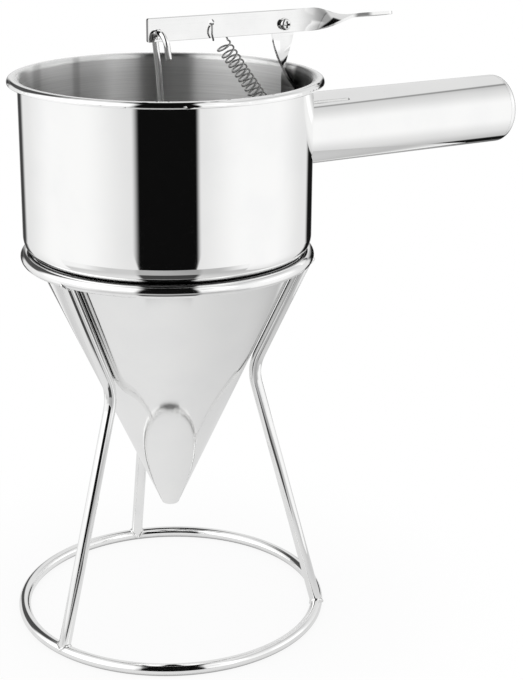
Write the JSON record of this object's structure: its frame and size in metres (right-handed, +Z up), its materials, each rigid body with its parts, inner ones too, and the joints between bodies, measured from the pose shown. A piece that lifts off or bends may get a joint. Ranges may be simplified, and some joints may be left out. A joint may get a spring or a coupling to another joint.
{
  "type": "confectionery funnel",
  "caption": "Stainless steel dispensing funnel with tube handle, thumb lever, return spring and plunger that opens the outlet, resting in a wire stand.",
  "frame": {"origin": "centre of the stand's base ring, on the table", "axes": "+Z up along the funnel's axis, +X along the handle away from the bowl, +Y to the side behind the lever"},
  "size_m": [0.2824, 0.159, 0.3043],
  "materials": {
    "polished_steel": "mirror-polished stainless steel",
    "satin_steel": "bright satin stainless steel",
    "spring_steel": "drawn stainless spring wire"
  },
  "bodies": {
    "stand": {"stand_base_ring": "polished_steel", "stand_upper_ring": "polished_steel", "stand_leg_rear": "polished_steel", "stand_leg_left": "polished_steel", "stand_leg_right": "polished_steel"},
    "funnel": {"bowl": "polished_steel", "cone": "polished_steel", "handle_tube": "polished_steel", "handle_end_cap": "polished_steel", "lever_bracket": "satin_steel", "pivot_screw": "satin_steel", "pivot_washer": "satin_steel", "pivot_nut": "satin_steel", "return_spring": "spring_steel"},
    "lever": {"lever": "satin_steel"},
    "plunger": {"plunger_rod": "polished_steel", "stopper": "satin_steel"}
  },
  "joints": [
    {"name": "funnel_lift", "type": "slide", "parent": "stand", "child": "funnel", "axis": [0, 0, 1], "range_m": [0, 0.15]},
    {"name": "lever_press", "type": "hinge", "parent": "funnel", "child": "lever", "pos_m": [0.063, -0.00295, 0.29741], "axis": [0, 1, 0], "range_deg": [0, 20], "stiffness_Nm_per_rad": 0.25, "springref_deg": -17.19, "deforming": ["return_spring"]},
    {"name": "plunger_hang", "type": "hinge", "parent": "lever", "child": "plunger", "pos_m": [-0.0061, -0.00295, 0.29741], "axis": [0, 1, 0], "range_deg": [-20, 0]}
  ],
  "couplings": [
    {"joint": "plunger_hang", "follows": "lever_press", "ratio": -1}
  ]
}
